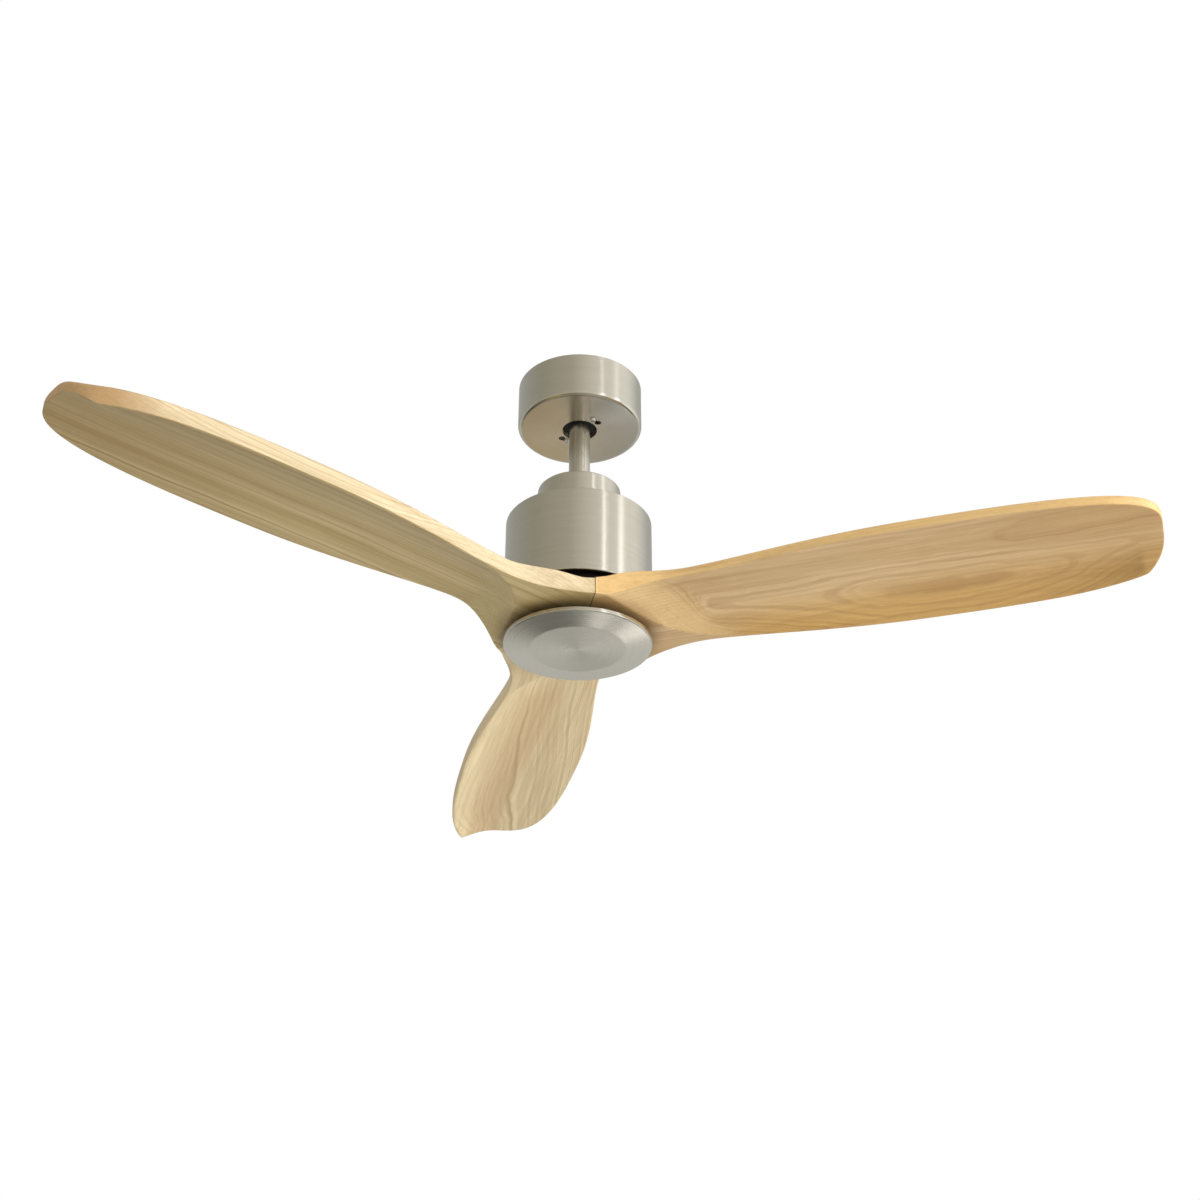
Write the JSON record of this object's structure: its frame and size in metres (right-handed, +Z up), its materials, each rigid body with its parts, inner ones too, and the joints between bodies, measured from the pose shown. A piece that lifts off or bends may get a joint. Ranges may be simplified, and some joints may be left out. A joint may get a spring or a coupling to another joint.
{
  "type": "ceiling fan",
  "caption": "Ceiling fan with carved wooden blades on a brushed metal motor housing, hung from a short downrod and a round canopy, with a blank dished bottom cap.",
  "frame": {"origin": "centre of the hanger bracket's ceiling face, on the fan's axis", "axes": "+Z up along the fan's axis into the ceiling, +X along the line of the two ceiling slots"},
  "size_m": [1.1454, 1.1081, 0.3691],
  "materials": {
    "brushed_nickel": "circumferentially brushed, warm nickel",
    "ash_wood": "light ash, satin clear coat",
    "black_steel": "satin black",
    "black_nylon": "matt black",
    "zinc_steel": "bright zinc plate",
    "bearing_steel": "ground steel",
    "lamination_steel": "stacked electrical steel",
    "cast_aluminium": "die cast",
    "ferrite": "ground ferrite",
    "copper_winding": "enamelled copper wire",
    "circuit_board": "green solder mask",
    "white_plastic": "moulded, fine texture",
    "black_cable": "satin sheath"
  },
  "bodies": {
    "root": {"hanger_bracket": "zinc_steel", "canopy": "brushed_nickel", "canopy_screws": "zinc_steel", "receiver_box": "white_plastic", "terminal_block": "white_plastic", "ground_screw": "zinc_steel"},
    "cross_pin": {"hanger_pin": "zinc_steel"},
    "hanging_motor": {"hanger_ball": "black_nylon", "ball_set_screw": "zinc_steel", "downrod": "brushed_nickel", "coupling_yoke": "black_steel", "clevis_pin": "zinc_steel", "cotter_pin": "zinc_steel", "yoke_set_screws": "zinc_steel", "coupling_cover": "brushed_nickel", "motor_housing": "brushed_nickel", "motor_mount_plate": "black_steel", "housing_screws": "zinc_steel", "motor_shaft": "bearing_steel", "board_posts": "zinc_steel", "driver_board": "circuit_board", "driver_components": "black_nylon", "motor_lead": "black_cable", "lead_plug": "white_plastic", "stator_hub": "cast_aluminium", "stator_core": "lamination_steel", "stator_coils": "copper_winding", "shaft_clip": "zinc_steel", "cap_backplate": "black_steel", "backplate_nut": "zinc_steel", "bottom_cap": "brushed_nickel", "cap_nut": "zinc_steel"},
    "rotor": {"rotor_top_shell": "black_steel", "rotor_bottom_shell": "black_steel", "shell_screws": "zinc_steel", "magnets": "ferrite", "upper_bearing": "bearing_steel", "lower_bearing": "bearing_steel", "blade_plate": "black_steel", "plate_screws": "zinc_steel", "blade_1": "ash_wood", "blade_2": "ash_wood", "blade_3": "ash_wood", "blade_screws": "zinc_steel", "blade_washers": "zinc_steel"}
  },
  "joints": [
    {"name": "hanger_roll", "type": "hinge", "parent": "root", "child": "cross_pin", "pos_m": [0, 0, -0.038], "axis": [0, 1, 0], "range_deg": [-10, 10]},
    {"name": "hanger_pitch", "type": "hinge", "parent": "cross_pin", "child": "hanging_motor", "pos_m": [0, 0, -0.038], "axis": [1, 0, 0], "range_deg": [-10, 10]},
    {"name": "rotor_spin", "type": "hinge", "parent": "hanging_motor", "child": "rotor", "pos_m": [0, 0, -0.28], "axis": [0, 0, 1], "continuous": true}
  ]
}
